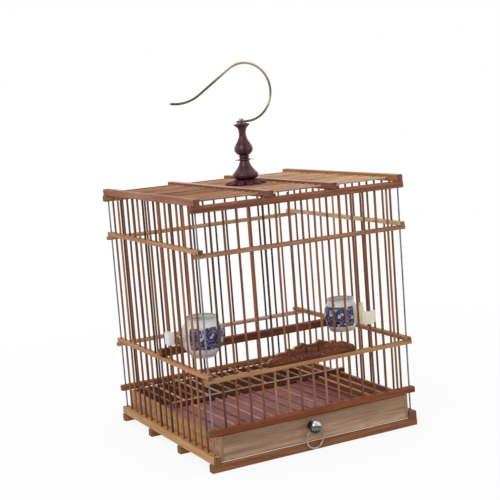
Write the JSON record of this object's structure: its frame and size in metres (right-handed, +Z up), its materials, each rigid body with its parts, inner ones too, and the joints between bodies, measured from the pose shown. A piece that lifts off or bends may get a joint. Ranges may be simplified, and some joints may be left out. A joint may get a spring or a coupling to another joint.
{
  "type": "bird cage",
  "caption": "Square bamboo bird cage with threaded bars, a lifting bar door, a pull-out tray, hung porcelain cups, a perch, a turned finial and a swivelling wire hook.",
  "frame": {"origin": "on the ground, midway between the four corner tie rods", "axes": "+Z up, -Y towards the front with the drawer and the door, +X to the right seen from the front"},
  "size_m": [0.2593, 0.262, 0.4099],
  "materials": {
    "base_bamboo": "oiled bamboo, reddish brown",
    "rail_bamboo": "oiled bamboo, golden tan",
    "top_bamboo": "oiled bamboo, dark red-brown",
    "bar_bamboo": "drawn bamboo, warm to dark brown",
    "rod_bamboo": "drawn bamboo, pale tan",
    "finial_wood": "polished rosewood",
    "perch_wood": "dark red-brown hardwood",
    "plate_wood": "carved dark red-brown bamboo",
    "keeper_wood": "plain carved wood",
    "drawer_wood": "bare pale board",
    "tray_board": "thin board with a mauve face",
    "porcelain": "white glaze with a blue band",
    "steel_wire": "grey drawn wire",
    "hook_wire": "aged bronze wire",
    "knob_chrome": "polished",
    "ring_wire": "bright wire"
  },
  "bodies": {
    "cage": {"front_bottom_rail": "base_bamboo", "back_bottom_rail": "base_bamboo", "front_bottom_slat": "base_bamboo", "back_bottom_slat": "base_bamboo", "front_drawer_rail": "base_bamboo", "back_drawer_rail": "base_bamboo", "left_bottom_rail": "base_bamboo", "right_bottom_rail": "base_bamboo", "front_lower_rail": "rail_bamboo", "back_lower_rail": "rail_bamboo", "left_lower_rail": "rail_bamboo", "right_lower_rail": "rail_bamboo", "front_upper_rail": "rail_bamboo", "back_upper_rail": "rail_bamboo", "left_upper_rail": "rail_bamboo", "right_upper_rail": "rail_bamboo", "front_top_rail": "top_bamboo", "back_top_rail": "top_bamboo", "left_top_rail": "top_bamboo", "right_top_rail": "top_bamboo", "left_roof_slat": "top_bamboo", "right_roof_slat": "top_bamboo", "front_left_tie_rod": "steel_wire", "back_left_tie_rod": "steel_wire", "front_right_tie_rod": "steel_wire", "back_right_tie_rod": "steel_wire", "finial_pin": "steel_wire", "finial_spindle": "steel_wire", "spindle_nut": "steel_wire", "left_bars": "bar_bamboo", "right_bars": "bar_bamboo", "back_bars": "bar_bamboo", "front_left_bars": "bar_bamboo", "front_right_bars": "bar_bamboo", "front_lower_bars": "bar_bamboo", "roof_rods": "rod_bamboo", "floor_rods": "rod_bamboo", "floor_mid_rail": "rod_bamboo", "rosette": "finial_wood", "finial_bell": "finial_wood", "finial_vase": "finial_wood", "clamp_disc": "finial_wood", "left_cup": "porcelain", "right_cup": "porcelain"},
    "drawer": {"drawer_front": "drawer_wood", "drawer_left_side": "drawer_wood", "drawer_right_side": "drawer_wood", "drawer_back": "drawer_wood", "drawer_bottom": "tray_board", "drawer_knob": "knob_chrome"},
    "ring": {"drawer_ring": "ring_wire"},
    "door": {"door_plate": "plate_wood", "door_bars": "bar_bamboo"},
    "hook": {"hook": "hook_wire"},
    "perch": {"perch": "perch_wood"},
    "left_keeper": {"left_keeper": "keeper_wood"},
    "right_keeper": {"right_keeper": "keeper_wood"}
  },
  "joints": [
    {"name": "drawer_slide", "type": "slide", "parent": "cage", "child": "drawer", "axis": [0, -1, 0], "range_m": [0, 0.2]},
    {"name": "ring_swing", "type": "hinge", "parent": "drawer", "child": "ring", "pos_m": [-0.007, -0.127, 0.02268], "axis": [-1, 0, 0], "range_deg": [-3, 95]},
    {"name": "door_slide", "type": "slide", "parent": "cage", "child": "door", "axis": [0, 0, 1], "range_m": [0, 0.1]},
    {"name": "hook_swivel", "type": "hinge", "parent": "cage", "child": "hook", "pos_m": [0, 0, 0.3448], "axis": [0, 0, 1], "continuous": true},
    {"name": "perch_lift", "type": "slide", "parent": "cage", "child": "perch", "axis": [0, 0, 1], "range_m": [0, 0.1]},
    {"name": "left_keeper_lift", "type": "slide", "parent": "cage", "child": "left_keeper", "axis": [0, 0, 1], "range_m": [0, 0.02]},
    {"name": "right_keeper_lift", "type": "slide", "parent": "cage", "child": "right_keeper", "axis": [0, 0, 1], "range_m": [0, 0.02]}
  ]
}
